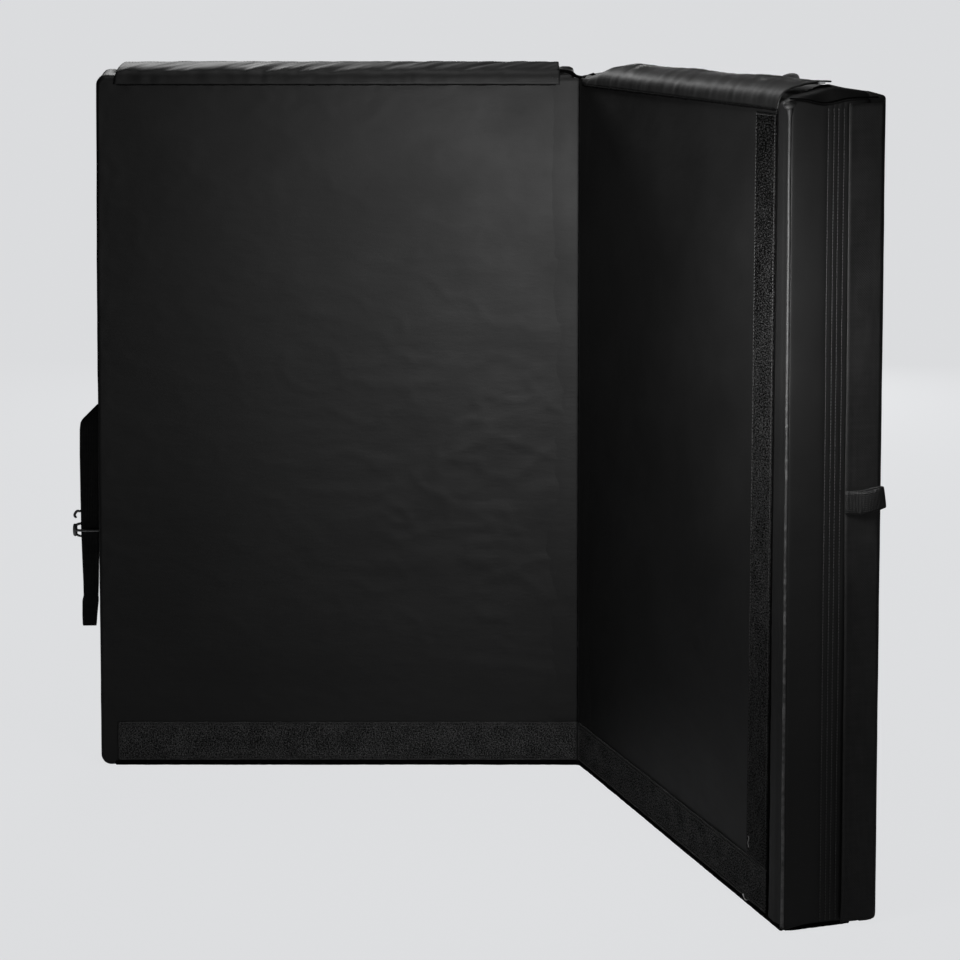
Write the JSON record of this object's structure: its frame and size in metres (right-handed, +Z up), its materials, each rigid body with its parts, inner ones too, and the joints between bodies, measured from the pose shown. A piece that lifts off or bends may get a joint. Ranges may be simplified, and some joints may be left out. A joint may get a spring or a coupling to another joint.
{
  "type": "bouldering crash pad",
  "caption": "Folding foam landing pad for bouldering, with hook-and-loop joining flaps, a wire-hook closure and a carrying harness.",
  "frame": {"origin": "the middle of the bounding box's base, on the surface that the pad stands on", "axes": "+Z up along the fold; -Y towards the side that the left panel's landing face looks to; the left panel runs out along -X from the fold"},
  "size_m": [0.9858, 0.7118, 0.9223],
  "materials": {
    "coated_fabric": "satin",
    "woven_fabric": "matte",
    "webbing": "satin",
    "loop_tape": "matte",
    "hook_tape": "matte",
    "padded_strap": "matte",
    "closed_cell_foam": "matte",
    "open_cell_foam": "matte",
    "moulded_plastic": "satin",
    "hook_steel": "polished"
  },
  "bodies": {
    "catch_loop": {"catch_loop": "webbing"},
    "closure_hook": {"closure_hook": "hook_steel"},
    "closure_strap": {"closure_strap": "webbing"},
    "left_panel": {"closure_strap_anchor": "webbing", "fold_crease_web": "coated_fabric", "left_access_loop_tape": "loop_tape", "left_back_cover": "woven_fabric", "left_base_foam": "closed_cell_foam", "left_bottom_loop_strip": "loop_tape", "left_core_foam": "open_cell_foam", "left_landing_cover": "coated_fabric", "left_landing_foam": "closed_cell_foam"},
    "right_panel": {"haul_loop": "webbing", "haul_loop_patch": "webbing", "inner_hip_patch": "webbing", "inner_ladder_lock": "moulded_plastic", "inner_lock_tab": "webbing", "inner_lower_anchor": "webbing", "inner_lower_webbing": "webbing", "inner_shoulder_pad": "padded_strap", "outer_hip_patch": "webbing", "outer_ladder_lock": "moulded_plastic", "outer_lock_tab": "webbing", "outer_lower_anchor": "webbing", "outer_lower_webbing": "webbing", "outer_shoulder_pad": "padded_strap", "right_access_loop_tape": "loop_tape", "right_back_cover": "woven_fabric", "right_base_foam": "closed_cell_foam", "right_bottom_loop_strip": "loop_tape", "right_core_foam": "open_cell_foam", "right_landing_cover": "coated_fabric", "right_landing_foam": "closed_cell_foam", "right_side_loop_strip": "loop_tape", "shoulder_yoke": "webbing"},
    "outer_hip_belt": {"hip_buckle_plug": "moulded_plastic", "outer_hip_webbing": "webbing"},
    "inner_hip_belt": {"hip_buckle_socket": "moulded_plastic", "inner_hip_webbing": "webbing"},
    "left_access_flap": {"left_access_flap": "woven_fabric", "left_access_hook_tape": "hook_tape"},
    "left_top_flap": {"left_top_flap": "coated_fabric", "left_top_flap_hook_tape": "hook_tape"},
    "right_access_flap": {"right_access_flap": "woven_fabric", "right_access_hook_tape": "hook_tape"},
    "right_top_flap": {"right_top_flap": "coated_fabric", "right_top_flap_hook_tape": "hook_tape"}
  },
  "joints": [
    {"name": "fold", "type": "hinge", "parent": "left_panel", "child": "right_panel", "pos_m": [0.18208, 0.22656, 0], "axis": [0, 0, 1], "range_deg": [-108.5, 71.5], "deforming": ["fold_crease_web"]},
    {"name": "left_top_flap_turn", "type": "hinge", "parent": "left_panel", "child": "left_top_flap", "pos_m": [0.15258, 0.22951, 0.892], "axis": [1, 0, 0], "range_deg": [0, 170]},
    {"name": "right_top_flap_turn", "type": "hinge", "parent": "right_panel", "child": "right_top_flap", "pos_m": [0.18663, 0.22228, 0.892], "axis": [0.3173, -0.9483, 0], "range_deg": [0, 170]},
    {"name": "left_access_flap_turn", "type": "hinge", "parent": "left_panel", "child": "left_access_flap", "pos_m": [-0.43962, 0.33806, 0], "axis": [0, 0, -1], "range_deg": [0, 100]},
    {"name": "right_access_flap_turn", "type": "hinge", "parent": "right_panel", "child": "right_access_flap", "pos_m": [0.48509, -0.32764, 0], "axis": [0, 0, 1], "range_deg": [0, 80]},
    {"name": "catch_loop_swing", "type": "hinge", "parent": "right_access_flap", "child": "catch_loop", "pos_m": [0.44861, -0.34153, 0.469], "axis": [0, 0, -1], "range_deg": [0, 165]},
    {"name": "closure_strap_swing", "type": "hinge", "parent": "left_panel", "child": "closure_strap", "pos_m": [-0.44592, 0.35116, 0.4455], "axis": [0, 0, -1], "range_deg": [-90, 75]},
    {"name": "closure_hook_slide", "type": "slide", "parent": "closure_strap", "child": "closure_hook", "axis": [0, 0, 1], "range_m": [-0.07, 0.08]},
    {"name": "inner_hip_belt_swing", "type": "hinge", "parent": "right_panel", "child": "inner_hip_belt", "pos_m": [0.33022, 0.18122, 0.34], "axis": [0.3173, -0.9483, 0], "range_deg": [0, 140]},
    {"name": "outer_hip_belt_swing", "type": "hinge", "parent": "right_panel", "child": "outer_hip_belt", "pos_m": [0.46984, -0.23604, 0.34], "axis": [0.3173, -0.9483, 0], "range_deg": [0, 140]}
  ]
}
